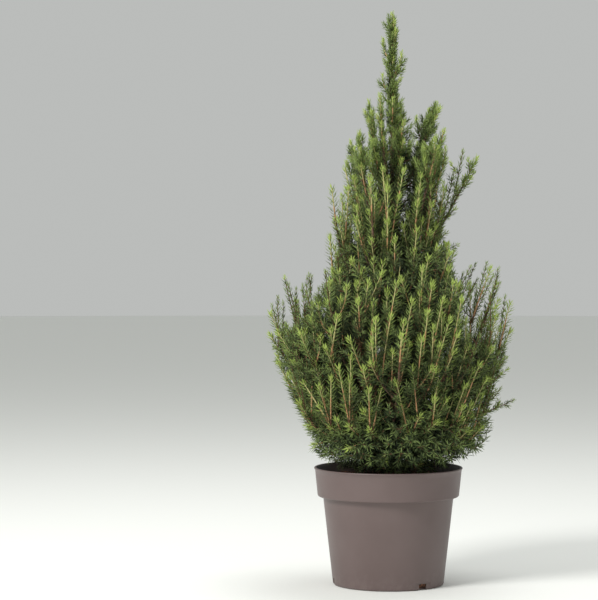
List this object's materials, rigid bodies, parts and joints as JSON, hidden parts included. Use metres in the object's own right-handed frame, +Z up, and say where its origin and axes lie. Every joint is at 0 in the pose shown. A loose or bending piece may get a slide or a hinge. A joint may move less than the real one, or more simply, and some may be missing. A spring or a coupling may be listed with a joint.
{
  "type": "potted dwarf alberta spruce",
  "caption": "Dwarf conical spruce with dense upright shoots, growing in a round tapered plastic nursery pot filled with compost.",
  "frame": {"origin": "middle of the pot's flat underside, on the surface the pot stands on", "axes": "+Z up along the pot's axis, -Y the front, +X to the right seen from the front"},
  "size_m": [0.3571, 0.352, 0.8125],
  "materials": {
    "pot": "smooth injection-moulded taupe polypropylene with a low satin sheen",
    "compost": "moist dark brown peat and bark compost, crumbly and fully matte",
    "bark": "thin reddish brown bark, finely ridged and scaly, matte",
    "needles": "short stiff needles, bright yellow-green at the shoot tips and deep green inside, slightly waxy"
  },
  "bodies": {
    "root": {"pot": "pot", "compost": "compost", "trunk": "bark", "mass_skirt_a": "needles", "mass_skirt_b": "needles", "mass_skirt_c": "needles", "mass_skirt_d": "needles", "mass_skirt_e": "needles", "mass_skirt_f": "needles", "mass_skirt_g": "needles", "bough_outer_a": "bark", "mass_outer_a": "needles", "bough_outer_b": "bark", "mass_outer_b": "needles", "bough_outer_c": "bark", "mass_outer_c": "needles", "bough_outer_d": "bark", "mass_outer_d": "needles", "bough_outer_e": "bark", "mass_outer_e": "needles", "bough_outer_f": "bark", "mass_outer_f": "needles", "bough_outer_g": "bark", "mass_outer_g": "needles", "bough_shoulder_a": "bark", "mass_shoulder_a": "needles", "bough_shoulder_b": "bark", "mass_shoulder_b": "needles", "bough_shoulder_c": "bark", "mass_shoulder_c": "needles", "bough_shoulder_d": "bark", "mass_shoulder_d": "needles", "bough_shoulder_e": "bark", "mass_shoulder_e": "needles", "bough_shoulder_f": "bark", "mass_shoulder_f": "needles", "mass_middle_a": "needles", "mass_middle_b": "needles", "mass_middle_c": "needles", "mass_middle_d": "needles", "mass_middle_e": "needles", "mass_waist_a": "needles", "mass_waist_b": "needles", "mass_waist_c": "needles", "mass_waist_d": "needles", "mass_waist_e": "needles", "mass_upper_a": "needles", "mass_upper_b": "needles", "mass_upper_c": "needles", "mass_upper_d": "needles", "mass_inner_a": "needles", "mass_inner_b": "needles", "mass_inner_c": "needles", "mass_spire_a": "needles", "mass_spire_b": "needles", "mass_spire_c": "needles", "mass_stray_right": "needles", "mass_stray_low": "needles", "mass_leader": "needles"}
  },
  "joints": []
}
